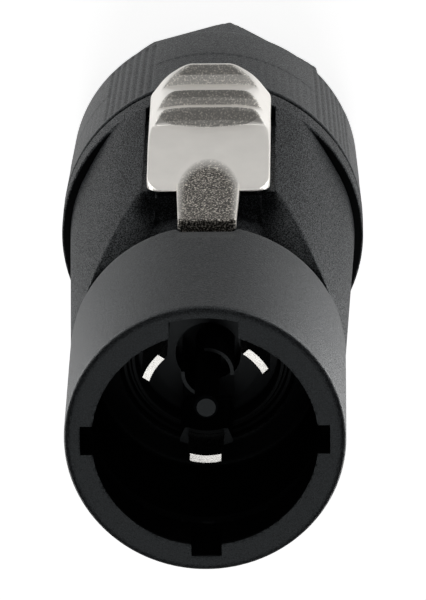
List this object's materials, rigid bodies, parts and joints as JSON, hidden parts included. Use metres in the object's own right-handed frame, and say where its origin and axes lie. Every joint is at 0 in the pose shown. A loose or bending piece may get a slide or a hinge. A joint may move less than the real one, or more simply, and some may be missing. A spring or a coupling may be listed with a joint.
{
  "type": "locking power plug",
  "caption": "In-line locking mains plug with a recessed round mating face, arc blades, a sprung metal thumb latch and a screw-on cable gland.",
  "frame": {"origin": "centre of the gland nut's rear face, on the plug's axis", "axes": "+Z along the plug's axis towards the mating face, -Y towards the thumb latch"},
  "size_m": [0.0316, 0.0348, 0.088],
  "materials": {
    "housing_plastic": "fine spark-eroded grain, charcoal",
    "nut_plastic": "fine grain with moulded ribs, charcoal",
    "latch_nickel": "satin nickel plate, blasted on the risers",
    "spring_steel": "drawn wire",
    "seal_rubber": "matt",
    "carrier_plastic": "smooth, black",
    "contact_silver": "silver plated",
    "terminal_steel": "zinc plated",
    "chuck_plastic": "smooth, dark",
    "washer_plastic": "natural slip washer"
  },
  "bodies": {
    "housing": {"housing_shell": "housing_plastic", "front_seal_ring": "seal_rubber", "contact_carrier": "carrier_plastic", "carrier_rear_cap": "carrier_plastic", "contact_line": "contact_silver", "contact_neutral": "contact_silver", "contact_earth": "contact_silver", "clamp_cage_line": "terminal_steel", "clamp_cage_neutral": "terminal_steel", "clamp_cage_earth": "terminal_steel", "terminal_screw_line": "terminal_steel", "terminal_screw_neutral": "terminal_steel", "terminal_screw_earth": "terminal_steel", "strain_relief_chuck": "chuck_plastic", "cable_seal": "seal_rubber", "nut_gasket": "seal_rubber", "latch_spring": "spring_steel"},
    "latch": {"latch_slider": "latch_nickel"},
    "washer": {"thrust_washer": "washer_plastic"},
    "nut": {"gland_nut": "nut_plastic"}
  },
  "joints": [
    {"name": "latch_slide", "type": "slide", "parent": "housing", "child": "latch", "axis": [0, 0, -1], "range_m": [0, 0.0034], "stiffness_N_per_m": 500, "springref_m": -0.004, "deforming": ["latch_spring"]},
    {"name": "gland_travel", "type": "slide", "parent": "housing", "child": "washer", "axis": [0, 0, -1], "range_m": [0, 0.012]},
    {"name": "gland_turn", "type": "hinge", "parent": "washer", "child": "nut", "pos_m": [0, 0, 0], "axis": [0, 0, -1], "range_deg": [-1, 1445]}
  ],
  "couplings": [
    {"joint": "gland_turn", "follows": "gland_travel", "rad_per_m": 2094.4}
  ]
}
